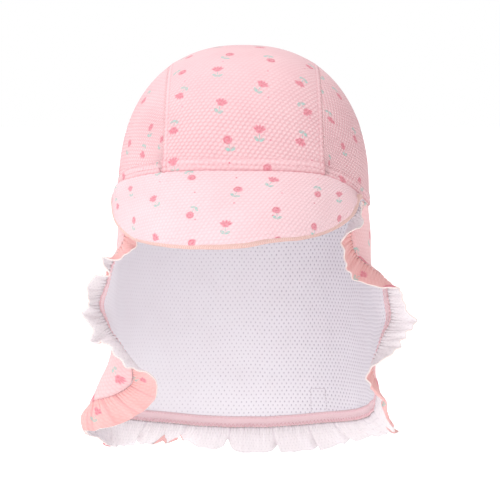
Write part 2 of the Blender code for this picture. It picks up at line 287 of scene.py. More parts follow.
def along(rows, column, at):
    """The column's value at each position, on a cubic through the rows whose slope at a row is
    that of its neighbours."""
    places, values = list(rows.values())[0], rows[column]
    slopes = np.gradient(values, places)
    at = np.clip(at, places[0], places[-1])
    i = np.clip(np.searchsorted(places, at, side="right") - 1, 0, len(places) - 2)
    step = places[i + 1] - places[i]
    t = (at - places[i]) / step
    return (
        values[i] * (1 + 2 * t) * (1 - t) ** 2
        + values[i + 1] * t**2 * (3 - 2 * t)
        + slopes[i] * step * t * (1 - t) ** 2
        - slopes[i + 1] * step * t**2 * (1 - t)
    )


def unit(vectors):
    """Vectors along the last axis, each divided by its length."""
    return vectors / np.maximum(np.linalg.norm(vectors, axis=-1, keepdims=True), 1e-12)


def bell(distance, width):
    """A bell curve of a distance: 1 at none, falling with the square of it in widths."""
    return np.exp(-((distance / width) ** 2))


def turned(first, second, angle):
    """The first direction turned by an angle towards the second, which is square to it."""
    return first * np.cos(angle)[..., None] + second * np.sin(angle)[..., None]


def dome_size(x, y, z):
    """1 on the crown's surface, from the brow plane's centre, and in proportion inside and outside
    it: the root of the sum of the three shares' powers, all of exponent CROWN_FULLNESS."""
    return (
        np.abs(x / CROWN_HALF_WIDTH) ** CROWN_FULLNESS
        + np.abs(y / CROWN_HALF_LENGTH) ** CROWN_FULLNESS
        + (np.maximum(z, 0) / CROWN_HEIGHT) ** CROWN_FULLNESS
    ) ** (1 / CROWN_FULLNESS)


def onto_dome(points):
    """Each point, given from the brow plane's centre, moved along its ray onto the crown."""
    return points / dome_size(*np.moveaxis(points, -1, 0))[..., None]


def by_side(rows, column, at, left):
    """The value of a column's left kind where left holds, and of its right kind elsewhere."""
    return np.where(left, along(rows, "left_" + column, at), along(rows, "right_" + column, at))


def hem_height(azimuth):
    """Height of the crown's hem over the brow plane at an azimuth within a half turn."""
    return by_side(HEM, "rise", np.abs(azimuth) / math.pi, azimuth >= 0) * CROWN_HEIGHT


def hem_point(azimuth, below=0.0):
    """Point of the hem's lower edge, or as far below it, from the brow plane's centre: the dome's
    ellipse of exponent CROWN_FULLNESS at the hem's height."""
    height = hem_height(azimuth)
    left_over = 1 - (np.maximum(height, 0) / CROWN_HEIGHT) ** CROWN_FULLNESS
    radius = left_over ** (1 / CROWN_FULLNESS) / dome_size(np.sin(azimuth), np.cos(azimuth), 0)
    return np.stack(
        [radius * np.sin(azimuth), -radius * np.cos(azimuth), height - below], axis=-1
    )


def strip_edge(share, offset):
    """Point of the crown over the head, from the front hem at share 0 to the back hem at 1, at an
    offset from the middle plane, positive to the wearer's left."""
    rest = (1 - np.abs(offset / CROWN_HALF_WIDTH) ** CROWN_FULLNESS) ** (1 / CROWN_FULLNESS)
    plan = np.arctan2(offset, CROWN_HALF_LENGTH * rest)
    angles = []
    for azimuth in (plan, np.copysign(math.pi, offset) - plan):
        rise = hem_height(azimuth)
        level = 1 - (np.maximum(rise, 0) / (CROWN_HEIGHT * rest)) ** CROWN_FULLNESS
        angles.append(np.arctan2(rise, CROWN_HALF_LENGTH * rest * level ** (1 / CROWN_FULLNESS)))
    front, back = angles
    turn = front + share * (math.pi - back - front)
    radius = rest / dome_size(0, np.cos(turn), np.sin(turn))
    return np.stack([offset + 0 * turn, -radius * np.cos(turn), radius * np.sin(turn)], axis=-1)


def strip_half_width(share):
    """Half the middle panel's width at a share of its length, by the table."""
    return along(STRIP, "half_width", share) * STRIP_HALF_WIDTH


def rim_length():
    """Length of the rim from the middle of the back to the flap's front edge."""
    points = hem_point(np.linspace(FLAP_END, math.pi, 400))[:, :2]
    return float(np.linalg.norm(np.diff(points, axis=0), axis=1).sum())


FLAP_HALF_SPAN = rim_length()


def flap_point(around, down):
    """Point of the flap's middle surface: around is the length along the rim from the middle of
    the back, positive towards +X, and down the length below the rim. The plan is the rim's, made
    wider with depth, and each front edge turns about an upright hinge line at the cheek."""
    left = around >= 0
    side = np.where(left, 1.0, -1.0)
    share = np.abs(around) / FLAP_HALF_SPAN
    azimuth = math.pi - share * (math.pi - FLAP_END)
    depth = down / FLAP_DEPTH
    width = by_side(HANG, "width", depth, left)
    turn = by_side(HANG, "turn", depth, left)
    length = along(HANG, "back_length", depth)

    def plan(at):
        """The rim's plan at an azimuth, wider and longer by the depth's shares."""
        rim = hem_point(at)
        x = rim[..., 0] * (1 + (width - 1) * np.sin(at))
        y = rim[..., 1] * (1 + (length - 1) * np.maximum(-np.cos(at), 0))
        return x, y

    x, y = plan(azimuth)
    hinge_x, hinge_y = plan(np.full_like(azimuth, FLAP_HINGE))
    past = np.maximum(FLAP_HINGE - azimuth, 0) / (FLAP_HINGE - FLAP_END)
    angle = np.radians(turn) * past**2
    from_x, from_y = x - hinge_x, y - hinge_y
    x = hinge_x + from_x * np.cos(angle) - from_y * np.sin(angle)
    y = hinge_y + from_x * np.sin(angle) + from_y * np.cos(angle)
    height = hem_height(side * azimuth) - SEAM_GAP - down
    return np.stack([side * x, y, height], axis=-1)


def flap_normal(around, down):
    """Outward normal of the flap, from short steps round the head and down."""
    step = FLAP_DEPTH / 400
    across = flap_point(around + step, down) - flap_point(around - step, down)
    below = flap_point(around, down + step) - flap_point(around, down - step)
    return unit(np.cross(unit(across), unit(below)))


def flap_bottom(around, inset):
    """Depth of the flap's lower edge, rounded at its corners, less an inset all along it."""
    depth = along(FLAP_EDGE, "depth", np.abs(around) / FLAP_HALF_SPAN) * FLAP_DEPTH - inset
    radius = FLAP_CORNER - inset
    into = np.clip(np.abs(around) - (FLAP_HALF_SPAN - FLAP_CORNER), 0, radius)
    return depth - radius + np.sqrt(radius**2 - into**2)


def flap_columns(inset, middle_steps, corner_steps):
    """Places round the head of the flap's columns, closer together in the rounded corners."""
    radius = FLAP_CORNER - inset
    straight = FLAP_HALF_SPAN - FLAP_CORNER
    arc = np.sin(np.linspace(0, math.pi / 2, corner_steps + 1)) * radius
    middle = np.linspace(-straight, straight, middle_steps + 1)
    return np.concatenate([-straight - arc[:0:-1], middle, straight + arc[1:]])


def flap_rim():
    """The line of the tape's inner edge from one temple down, round the bottom and up to the
    other, with its outward direction in the flat cloth and each place's share of its length."""
    middle_steps, corner_steps, down_steps = RIM_STEPS
    columns = flap_columns(TAPE_WIDTH, middle_steps, corner_steps)
    bottom = flap_bottom(columns, TAPE_WIDTH)
    share = np.linspace(0, 1, down_steps + 1)[:-1]
    first, last = np.full_like(share, columns[0]), np.full_like(share, columns[-1])
    around = np.concatenate([first, columns, last])
    down = np.concatenate([share * bottom[0], bottom, share[::-1] * bottom[-1]])
    run_around, run_down = np.gradient(around), np.gradient(down)
    length = np.hypot(run_around, run_down)
    out_around, out_down = -run_down / length, run_around / length
    out_around[0], out_down[0] = -1, 0
    out_around[-1], out_down[-1] = 1, 0
    steps = np.hypot(np.diff(around), np.diff(down))
    shares = np.concatenate([[0], np.cumsum(steps)]) / steps.sum()
    return around, down, out_around, out_down, shares


def from_border(around, down):
    """How far a place of the flat flap lies inside its outline, up to the corners' radius."""
    depth = along(FLAP_EDGE, "depth", np.abs(around) / FLAP_HALF_SPAN) * FLAP_DEPTH
    into = np.maximum(np.abs(around) - (FLAP_HALF_SPAN - FLAP_CORNER), 0)
    below = np.maximum(down - (depth - FLAP_CORNER), 0)
    return FLAP_CORNER - np.hypot(into, below), into, below


def ripple(at, pitch, stray):
    """A wave of about that pitch whose crests stray from even spacing, never repeating exactly."""
    turn = 2 * math.pi * at / pitch
    return np.sin(turn + stray * np.sin(turn / 3.7) + 1.3 * stray * np.sin(turn / 11.3 + 1))


def flap_relief(around, down):
    """How far the flap stands out of its plain surface: its edge is drawn in at the frill's seam
    and stands proud just inside it, and the gathers pucker it."""
    inside, into, below = from_border(around, down)
    inside = np.maximum(inside, 0)
    edge = FLAP_RIDGE * bell(inside - FLAP_RIDGE_AT, 0.0013)
    edge -= FLAP_DRAW * bell(inside, 0.0007)
    at_side = into / np.maximum(into + below, 1e-6)
    pucker = (1 - at_side) * ripple(around, 0.0046, 0.8) + at_side * ripple(down, 0.0046, 0.8)
    sway = (1 - at_side) * ripple(around, 0.023, 0.7) + at_side * ripple(down, 0.021, 0.7)
    drape = np.sin(around / 0.017 + 1) * np.sin(down / 0.031) * np.clip(down / FLAP_DEPTH, 0, 1)
    near = np.where(into + below > 0, 1.0, 0.0)
    return (
        edge
        + near * FLAP_PUCKER * pucker * np.exp(-inside / 0.0045)
        + near * FLAP_SWAY * sway * bell(inside, 0.012)
        + FLAP_DRAPE * drape
    )


def flap_place(around, down, lift=0.0):
    """Point of the flap with its relief, lifted along its normal."""
    raised = flap_relief(around, down) + lift
    return flap_point(around, down) + flap_normal(around, down) * raised[..., None]


def run(points, axis):
    """Length run along a grid's lines from their start."""
    steps = np.linalg.norm(np.diff(points, axis=axis), axis=-1)
    return np.insert(np.cumsum(steps, axis=axis), 0, 0, axis=axis)


def stations(length, fine, coarse, border):
    """Shares of a length from 0 to 1: fine steps inside both borders and coarse ones between."""
    edge = np.linspace(0, border, round(border / fine) + 1)
    middle = np.linspace(border, length - border, round((length - 2 * border) / coarse) + 1)
    return np.concatenate([edge[:-1], middle, length - edge[::-1][1:]]) / length


def grid_normals(points):
    """Unit normals of a grid, across its columns and down its rows; at a side drawn to a point the
    next line's serve."""
    normals = unit(np.cross(np.gradient(points, axis=1), np.gradient(points, axis=0)))
    short = np.linalg.norm(normals, axis=-1) < 0.5
    normals[:, 0] = np.where(short[:, :1], normals[:, 1], normals[:, 0])
    normals[:, -1] = np.where(short[:, -1:], normals[:, -2], normals[:, -1])
    return normals


def mesh_of(name, points, faces, flat=None):
    """A mesh from arrays of points, given from the brow plane's centre, and of faces, with its
    flat places in millimetres as the UV map the weave follows."""
    mesh = bpy.data.meshes.new(name)
    mesh.from_pydata((points + (0, 0, BROW)).tolist(), [], faces.tolist())
    if flat is not None:
        layer = mesh.uv_layers.new(name="cloth")
        corners = np.empty(len(mesh.loops), int)
        mesh.loops.foreach_get("vertex_index", corners)
        layer.data.foreach_set("uv", (flat[corners] * 1000).astype(np.float32).ravel())
    mesh.shade_smooth()
    return mesh


def mark(mesh, name, values):
    """Keeps a number at each point of a mesh for its materials to read."""
    layer = mesh.attributes.new(name, "FLOAT", "POINT")
    layer.data.foreach_set("value", values.astype(np.float32).ravel())


def piece_of(name, mesh, materials, node=None):
    """Links a mesh as a piece on the root body with its materials, standing for a CAD node."""
    piece = bpy.data.objects.new(name, mesh)
    bpy.context.scene.collection.objects.link(piece)
    for material in materials:
        mesh.materials.append(material)
    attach(piece, "root")
    if node:
        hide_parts(node)
    return piece


def grid_faces(rows, columns, closed=False):
    """Quads of a grid, row by row; a closed grid joins its last row to its first."""
    i = np.arange(rows if closed else rows - 1)[:, None]
    j = np.arange(columns - 1)[None, :]
    below = (i + 1) % rows
    here, under = i * columns + j, below * columns + j
    return np.stack([here, here + 1, under + 1, under], axis=-1).reshape(-1, 4)


def cloth_piece(name, points, flat, wall, materials, node, marks=()):
    """A sheet over a grid whose normals face out: its outside, inside and cut edge take the three
    materials in turn."""
    rows, columns = points.shape[:2]
    mesh = mesh_of(name, points.reshape(-1, 3), grid_faces(rows, columns), flat.reshape(-1, 2))
    for word, values in marks:
        mark(mesh, word, values)
    piece = piece_of(name, mesh, materials, node)
    solid = piece.modifiers.new("wall", "SOLIDIFY")
    solid.thickness = wall
    solid.offset = 0
    solid.material_offset = 1
    solid.material_offset_rim = 2
    return piece


def step_up(distance, width, soft):
    """1 within the width, 0 past it, on a smooth step as wide as soft."""
    t = np.clip((width - distance) / soft + 0.5, 0, 1)
    return t * t * (3 - 2 * t)


def stitched(distance, rows, along_row):
    """Depth of the furrows that rows of stitches draw at their distances, deeper at each stitch."""
    pull = 0.65 + 0.35 * np.cos(2 * math.pi * along_row / STITCH_PITCH)
    return STITCH_DIP * pull * sum(bell(distance - row, STITCH_SOFT) for row in rows)


def crown_relief(from_seam, seam_run, from_hem, hem_run, lapped):
    """Height over a crown panel: the turned hem stands up, each seam rolls in, and on the lapped
    side the seam's allowance stands up too."""
    height = HEM_LIFT * step_up(from_hem, HEM_BAND, BAND_SOFT)
    height -= stitched(from_hem, HEM_ROWS, hem_run)
    height -= HEM_ROLL * np.exp(-from_hem / SEAM_SOFT)
    height -= SEAM_ROLL * np.exp(-from_seam / SEAM_SOFT)
    height += 0.00010 * ripple(seam_run, 0.0052, 0.5) * np.exp(-from_seam / 0.004)
    height += 0.00012 * ripple(hem_run, 0.0061, 0.6) * bell(from_hem, 0.010)
    if lapped:
        height += SEAM_LIFT * step_up(from_seam, SEAM_BAND, BAND_SOFT)
        height -= stitched(from_seam, SEAM_ROWS, seam_run)
    return height


def crown_marks(points, from_seam, seam_run, from_hem, hem_run, lapped):
    """How much a place is of the smooth doubled band; where it takes painted shade, as a dark line
    at the hem's lower edge for a shadow gap, in a stitch hole and, fainter, along a seam's line;
    and how quiet its weave is, in relief and in its furrows' painted shade: pulled flat on the top
    of the crown, and under 0, so stronger, towards the wearer's left, away from the light, where
    the weave catches more shade."""
    band = step_up(from_hem, HEM_BAND, BAND_SOFT)
    if lapped:
        band = np.maximum(band, step_up(from_seam, SEAM_BAND, BAND_SOFT))
    # Painted shade: a dark line at the hem's lower edge, a faint one along the seams
    line = np.maximum(np.exp(-from_hem / 0.0008), 0.25 * np.exp(-from_seam / SEAM_SOFT))
    rows = stitched(from_hem, HEM_ROWS, hem_run)
    if lapped:
        rows = rows + stitched(from_seam, SEAM_ROWS, seam_run)
    # Painted shade in the furrows, as well as relief: quieter on the lit top, livelier to the left
    quiet = QUIET_TOP * np.clip((points[..., 2] - QUIET_FROM) / 0.035, 0, 1)
    quiet = quiet - LIVELY_LEFT * np.clip((points[..., 0] - LIVELY_FROM) / 0.05, 0, 1)
    line = np.clip(line + 0.6 * rows / STITCH_DIP, 0, 1)
    return ("band", band), ("line", line), ("quiet", quiet)


def build_crown_strip(materials):
    """The middle panel: rows from front hem to back hem, columns across the head."""
    share = stations(0.250, 0.0006, 0.0010, 0.010)[:, None]
    across = stations(0.093, 0.00045, 0.0016, 0.006)[None, :] * 2 - 1
    points = strip_edge(share, strip_half_width(share) * across)
    lengths, widths = run(points, 0), run(points, 1)
    from_hem = np.minimum(lengths, lengths[-1:] - lengths)
    from_seam = np.minimum(widths, widths[:, -1:] - widths)
    height = crown_relief(from_seam, lengths, from_hem, widths, True)
    points = points + grid_normals(points) * height[..., None]
    middle = lengths[:, widths.shape[1] // 2][:, None] + 0 * widths
    flat = np.stack([widths - widths[:, -1:] / 2, middle], axis=-1)
    marks = crown_marks(points, from_seam, lengths, from_hem, widths, True)
    piece = cloth_piece(
        "crown_middle_cloth", points, flat, CLOTH, materials, "crown_middle_panel", marks
    )


def side_lines(share, side):
    """The seam over the head and the hem round the ear of a side panel, at shares of each."""
    seam = strip_edge(share, side * (strip_half_width(share) + SEAM_GAP))
    first = math.atan2(seam[0, 0], -seam[0, 1])
    last = math.atan2(seam[-1, 0], -seam[-1, 1])
    hem = hem_point(first + share * (last - first))
    hem[0], hem[-1] = seam[0], seam[-1]
    return seam, hem


def build_crown_side(side, materials):
    """A side panel: rows from the seam over the head down to the hem, each spread over the dome."""
    hand = "left" if side > 0 else "right"
    share = stations(0.220, 0.0007, 0.0012, 0.012)
    seam, hem = side_lines(share, side)
    down = stations(0.075, 0.00045, 0.0015, 0.009)[:, None, None]
    points = onto_dome(seam * (1 - down) + hem * down)
    points[-1] = hem
    depths, lengths = run(points, 0), run(points, 1)
    height = crown_relief(depths, lengths, depths[-1:] - depths, lengths, False)
    height *= np.clip(depths[-1:] / 0.004, 0, 1)
    normals = grid_normals(points) * -side
    points = points + normals * height[..., None]
    from_middle = lengths - lengths[:, len(share) // 2][:, None]
    flat = np.stack([from_middle * side + 0.31 * side, depths[-1:] - depths + 0.04], axis=-1)
    marks = crown_marks(points, depths, lengths, depths[-1:] - depths, lengths, False)
    piece = cloth_piece(
        f"crown_{hand}_cloth",
        points[:, ::-side],
        flat[:, ::-side],
        CLOTH,
        materials,
        f"crown_{hand}_panel",
        [(word, values[:, ::-side]) for word, values in marks],
    )


def peak_lines(place):
    """At places from the wearer's right end to the left one: the root under the hem, the reach,
    and the unit directions outwards and upwards of the peak there."""
    azimuth = np.interp(place, (-1, 1), PEAK_ENDS)
    root = hem_point(azimuth, PEAK_THICKNESS * 0.5 - SEAM_GAP)
    lap = np.clip((np.abs(azimuth) - FLAP_END) / PEAK_LAP_IN + 1, 0, 1)
    lap = lap * ((CLOTH + PEAK_THICKNESS) / 2 + SEAM_GAP)
    root[:, :2] *= 1 + (lap / np.hypot(root[:, 0], root[:, 1]))[:, None]
    reach = np.maximum(along(PEAK, "reach", place) * PEAK_REACH - PEAK_ROLL, 0)
    droop = np.radians(along(PEAK, "droop", place))[:, None]
    heading = np.radians(along(PEAK, "heading", place))
    forward = np.stack([np.sin(heading), -np.cos(heading), 0 * heading], axis=-1)
    up = np.array([0.0, 0.0, 1.0])
    outward = forward * np.cos(droop) - up * np.sin(droop)
    above = forward * np.sin(droop) + up * np.cos(droop)
    return root, reach, outward, above


def build_peak(materials, edge_material):
    """The peak: rows from the hem out to its free edge, swelling over its foam, and the rolled
    edge, an ellipse carried along the free edge."""
    place = np.sin(np.linspace(-math.pi / 2, math.pi / 2, 321))
    root, reach, outward, above = peak_lines(place)
    out = stations(0.06, 0.0005, 0.0012, 0.005)[:, None, None]
    span = reach[:, None] * out - PEAK_TUCK * np.exp(-out * 40)
    swell = PEAK_SWELL * (reach / PEAK_REACH)[:, None] * np.sin(math.pi * out)
    points = root + outward * span + above * swell
    edge_run = run(points, 1)
    from_free = (reach[:, None] * (1 - out))[..., 0]
    height = -PEAK_ROW_DIP * bell(from_free - PEAK_ROW, 0.0006)
    height *= 0.7 + 0.3 * np.cos(2 * math.pi * edge_run / STITCH_PITCH)
    height += 0.00008 * ripple(edge_run, 0.017, 0.7) * bell(from_free, 0.010)
    points = points + above * height[..., None]
    middle = len(place) // 2
    flat = np.stack([edge_run - edge_run[:, middle : middle + 1] - 0.2, -span[..., 0]], axis=-1)
    cover = cloth_piece(
        "peak_cover", points[:, ::-1], flat[:, ::-1], PEAK_THICKNESS, materials, "peak"
    )

    centre = points[-1]
    tangent = unit(np.gradient(centre, axis=0))
    side = unit(np.cross(tangent, above))
    turn = np.linspace(0, 2 * math.pi, 17)[:-1, None, None]
    half = PEAK_THICKNESS / 2 + 0.00012
    profile = side * np.cos(turn) * PEAK_ROLL * 1.25 + above * np.sin(turn) * half
    ends = np.clip(np.minimum(place + 1, 1 - place) / 0.012, 0.02, 1)[:, None] ** 0.5
    rolled = centre + profile * ends
    round_run = (turn[..., 0] * half) + 0 * rolled[..., 0]
    flat = np.stack([run(rolled, 1), round_run], axis=-1)
    mesh = mesh_of(
        "peak_rolled_edge",
        rolled.reshape(-1, 3),
        grid_faces(len(turn), len(place), closed=True)[:, ::-1],
        flat.reshape(-1, 2),
    )
    edge = piece_of("peak_rolled_edge", mesh, [edge_material])
    return cover


def build_flap(materials):
    """The neck flap over its whole flat outline, rows down and columns round the head."""
    around = flap_columns(0, 230, 34)
    share = stations(0.120, 0.0007, 0.0014, 0.008)[:, None]
    around, down = around + 0 * share, share * flap_bottom(around, 0)
    points = flap_place(around, down)
    flat = np.stack([around + 0.03, -down], axis=-1)
    # Painted shade, rising towards the wearer's left, away from the light, for the white inside
    marks = [("painted_shade", np.clip((points[..., 0] + 0.060) / 0.115, 0, 1))]
    return cloth_piece("neck_flap_cloth", points, flat, CLOTH, materials, "neck_flap", marks)


def build_tape(material):
    """The tape on the inside of the flap's edge: a band with a low crown across it."""
    around, down, out_around, out_down, _ = flap_rim()
    across = np.linspace(0, 1, 11)[:, None]
    places = (
        around + out_around * TAPE_WIDTH * across,
        down + out_down * TAPE_WIDTH * across,
    )
    crown = TAPE_CROWN * np.sin(math.pi * across) ** 0.6
    ribs = TAPE_RIB * np.cos(2 * math.pi * across * 4)
    lift = -(CLOTH / 2 + TAPE_CLOTH / 2 - 0.0002 + crown + ribs) + 0 * around
    points = flap_place(*places, lift)
    flat = np.stack([run(points, 1), across * TAPE_WIDTH + 0 * around], axis=-1)
    return cloth_piece("edge_tape_band", points, flat, TAPE_CLOTH, [material] * 3, "edge_tape")


def frill_lines(columns):
    """Seam line of the frill at even shares of the flap's edge, with the flap's normal there and
    the direction that leaves the edge square to the seam."""
    around, down, out_around, out_down, shares = flap_rim()
    fine = np.linspace(0, 1, columns)
    around, down, out_around, out_down = (
        np.interp(fine, shares, values) for values in (around, down, out_around, out_down)
    )
    around, down = around + out_around * TAPE_WIDTH, down + out_down * TAPE_WIDTH
    seam = flap_place(around, down)
    normal = flap_normal(around, down)
    outward = unit(np.cross(normal, np.gradient(flap_point(around, down), axis=0)))
    return fine, seam, normal, outward


def build_frill(materials):
    """The frill: leaves the flap's edge square to the seam and swings out of its surface fold by
    fold, with fine gathers at the seam that die out into the folds."""
    fine, seam, normal, outward = frill_lines(2001)
    length = run(seam[None], 1)[0]
    out = np.linspace(0, 1, 19)[:, None]
    ends = np.minimum(fine, 1 - fine) / FRILL_TAPER
    width = SEAM_GAP + out * (FRILL_WIDTH * np.clip(ends, 0.2, 1) ** 0.7 - SEAM_GAP)
    crease = sum(bell(fine - place, CREASE_WIDTH) for place in CREASES)
    swing, lean = (along(FOLDS, kind, fine * 1000) for kind in ("swing", "lean"))
    swing = np.radians(swing + CREASE_SWING * crease) * (0.4 + 0.6 * out)
    lean = np.radians(lean) * (0.4 + 0.6 * out)
    flip = sum(
        part * np.clip(1 - ((fine - place) / half) ** 2, 0, 1) ** 1.5 for place, half, part in FLIPS
    )
    excess = np.maximum(width - FRILL_WIDTH * (1 - flip), 0)
    reach = width - 2 * excess
    tangent = unit(np.gradient(seam, axis=0))
    ruck = ripple(length, GATHER_PITCH, 0.9)
    gather = GATHER_SWING * ruck * np.exp(-width / GATHER_FADE) * np.cos(lean) ** 2
    gather = gather * np.clip(width / 0.0008, 0.35, 1)
    fold = 0.0006 * ripple(length, 0.0113, 1.1) * (width / FRILL_WIDTH) ** 1.2
    fold += 0.00015 * ripple(length + 0.004, 0.0049, 1.0) * np.sin(math.pi * out) ** 2
    fold += PUFF_HEIGHT * np.sin(math.pi * out) * bell(fine - PUFF_PLACE, 0.012)
    fold = fold * np.cos(lean) ** 2 - 0.0014 * np.clip(excess / 0.0007, 0, 1)
    across = turned(turned(outward, normal, swing), tangent, lean)
    square = turned(normal, -outward, swing)
    points = seam + across * reach[..., None] + square * (gather + fold)[..., None]
    flat = np.stack([length * FRILL_FULLNESS + 0 * width + 0.6, -width], axis=-1)
    # Painted shade: the gathers' hollows, the creases and corner fold lines, and the seam's line
    shade = 0.45 * np.clip(-ruck, 0, 1) ** 2 * np.exp(-width / 0.008)
    shade = shade + 0.5 * np.exp(-width / 0.0007)
    places = CREASES + CORNER_FOLDS
    lines = sum(bell(fine - place, FOLD_LINE_WIDTH) for place in places)
    shade = shade + 0.5 * lines * (1 - 0.6 * out)
    marks = [("line", np.clip(shade, 0, 1))]
    piece = cloth_piece("frill_cloth", points, flat, FRILL_CLOTH, materials, "frill", marks)
    return piece


def threads(name, starts, ends, normals, thick, material, slot):
    """Stitches as grains of thread: each runs from a start to an end over three rings of points,
    round in section, thickest in the middle, and lies half sunk in the cloth."""
    body = np.array([(-0.38, 0.75), (0.0, 1.0), (0.38, 0.75)])
    turn = np.linspace(0, 2 * math.pi, THREAD_SIDES + 1)[:-1]
    length = ends - starts
    ahead = unit(length)
    beside = unit(np.cross(normals, ahead))
    above = np.cross(ahead, beside)
    centre = (starts + ends) / 2
    along_part = body[:, 0, None] + 0 * turn
    side_part = body[:, 1, None] * np.cos(turn) * thick / 2
    up_part = body[:, 1, None] * np.sin(turn) * thick / 2
    shape = lambda part, axis: part[None, ..., None] * axis[:, None, None]
    ring_points = centre[:, None, None] + shape(along_part, length)
    ring_points = ring_points + shape(side_part, beside) + shape(up_part, above)
    tips = np.stack([starts, ends], axis=1)
    points = np.concatenate([ring_points.reshape(len(starts), -1, 3), tips], axis=1)
    around = np.arange(THREAD_SIDES)
    after = (around + 1) % THREAD_SIDES
    tip, ends_of_rings = len(body) * THREAD_SIDES, (len(body) - 1) * THREAD_SIDES
    side = np.stack([around, after, after + THREAD_SIDES, around + THREAD_SIDES], 1)
    sides = np.concatenate([side, side + THREAD_SIDES])
    first = np.stack([around, after, 0 * around + tip], 1)[:, ::-1]
    last = np.stack([ends_of_rings + around, ends_of_rings + after, 0 * around + tip + 1], 1)
    shift = np.arange(len(starts))[:, None, None] * (tip + 2)
    quads = (sides[None] + shift).reshape(-1, 4).tolist()
    fans = (np.concatenate([first, last])[None] + shift).reshape(-1, 3).tolist()
    mesh = bpy.data.meshes.new(name)
    mesh.from_pydata((points.reshape(-1, 3) + (0, 0, BROW)).tolist(), [], quads + fans)
    mesh.shade_smooth()
    piece = piece_of(name, mesh, [material])
    return piece


def at_length(where, length, line):
    """Points of a line at lengths along it, between their neighbours."""
    return np.stack([np.interp(where, length, values) for values in line.T], 1)


def stitch_line(points, normals, pitch, fill=0.72):
    """Starts, ends and normals of running stitches of a pitch along a line of points."""
    length = run(points[None], 1)[0]
    count = int(length[-1] / pitch)
    at = (np.arange(count) + 0.5) * length[-1] / count
    half = length[-1] / count * fill / 2
    starts, ends = (at_length(place, length, points) for place in (at - half, at + half))
    return starts, ends, unit(at_length(at, length, normals))


def joined_lines(lines):
    """Starts, ends and normals of several lines of stitches, each as one array."""
    return [np.concatenate(parts) for parts in zip(*lines)]


def dome_normal(points):
    """Outward normal of the crown: the dome's gradient, level under the brow plane."""
    sizes = np.array([CROWN_HALF_WIDTH, CROWN_HALF_LENGTH, CROWN_HEIGHT])
    shares = np.maximum(points, (-np.inf, -np.inf, 0)) / sizes
    return unit(np.sign(shares) * np.abs(shares) ** (CROWN_FULLNESS - 1) / sizes)


def build_crown_stitches(material):
    """Rows of stitches beside the two seams over the head and round the turned hem."""
    lines = []
    share = np.linspace(0, 1, 500)
    for side in (-1, 1):
        for row in SEAM_ROWS:
            points = strip_edge(share, side * (strip_half_width(share) - row * 0.93))
            normals = dome_normal(points)
            lift = CLOTH / 2 + SEAM_LIFT - STITCH_SUNK
            lines.append(stitch_line(points + normals * lift, normals, STITCH_PITCH))
    hem = hem_point(np.linspace(-math.pi, math.pi, 1400))
    for row in HEM_ROWS:
        points = hem + np.array([0.0, 0.0, row])
        points = np.where(points[:, 2:] > 0, onto_dome(points), points)
        normals = dome_normal(points)
        lift = CLOTH / 2 + HEM_LIFT - STITCH_SUNK
        lines.append(stitch_line(points + normals * lift, normals, STITCH_PITCH))
    threads("crown_stitches", *joined_lines(lines), CROWN_THREAD, material, "crown_middle_panel")


def build_edge_stitches(material):
    """Cover stitches of the tape: a straight row on its inner side and a zigzag over the seam on
    its frill side."""
    around, down, out_around, out_down, _ = flap_rim()
    lift = -(CLOTH / 2 + TAPE_CLOTH + 0.00022)

    def row(across):
        """The line at a distance from the tape's inner edge, on its face, and the normals there."""
        at = around + out_around * across, down + out_down * across
        return flap_place(*at, lift + 0 * around), -flap_normal(*at)

    lines = [stitch_line(*row(0.0011), 0.0024, 0.8)]
    inner, normals = row(ZIGZAG_LINES[0])
    outer = row(ZIGZAG_LINES[1])[0]
    length = run(inner[None], 1)[0]
    count = int(length[-1] / ZIGZAG_STEP)
    at = np.linspace(0, length[-1], count + 1)
    inner, outer, normals = (at_length(at, length, line) for line in (inner, outer, normals))
    zig = np.where((np.arange(count + 1) % 2 == 0)[:, None], inner, outer)
    lines.append((zig[:-1], zig[1:], unit(normals[:-1] + normals[1:])))
    return threads("tape_stitches", *joined_lines(lines), TAPE_THREAD, material, "edge_tape")


def build_patch_stitches(material):
    """A small stitched rectangle that shows on the inside of the flap's back: running stitches
    along the three sides that the tape leaves free."""
    (near, far), (low, high) = PATCH_SIDES, PATCH_LEVELS
    corners = np.array([(near, low), (near, high), (far, high), (far, low)])
    lines = []
    for start, end in zip(corners[:-1], corners[1:]):
        around, down = (start + np.linspace(0, 1, 30)[:, None] * (end - start)).T
        points = flap_place(around, down, -(CLOTH / 2 + 0.00005) + 0 * around)
        lines.append(stitch_line(points, -flap_normal(around, down), 0.0016, 0.8))
    return threads("back_patch_stitches", *joined_lines(lines), PATCH_THREAD, material, "neck_flap")


# Finishes


def linear(colour):
    """An sRGB hex colour as linear RGBA."""
    parts = [int(colour[i : i + 2], 16) / 255 for i in (1, 3, 5)]
    return *(c / 12.92 if c <= 0.04045 else ((c + 0.055) / 1.055) ** 2.4 for c in parts), 1.0


def node(tree, kind, *values, out=0, **settings):
    """Adds one shader node of a kind, its operation or a Mix's data type after a blank, with its
    settings. The values go to its inputs in order, a socket as a link, a hex colour as linear and
    None as left alone, and a dictionary names inputs. Gives back one output, or a slice of them."""
    kind, _, word = kind.partition(" ")
    made = tree.nodes.new("ShaderNode" + kind)
    if word:
        setattr(made, "data_type" if kind == "Mix" else "operation", word)
    for name, value in settings.items():
        setattr(made, name, value)
    pairs = values[0].items() if values and isinstance(values[0], dict) else enumerate(values)
    for key, value in pairs:
        if isinstance(value, bpy.types.NodeSocket):
            tree.links.new(value, made.inputs[key])
        elif value is not None:
            made.inputs[key].default_value = linear(value) if isinstance(value, str) else value
    return made.outputs[out] if made.outputs else made


def blend(tree, share, first, second, **settings):
    """A colour from the first to the second by a share."""
    return node(tree, "Mix RGBA", {0: share, 6: first, 7: second}, out=2, **settings)


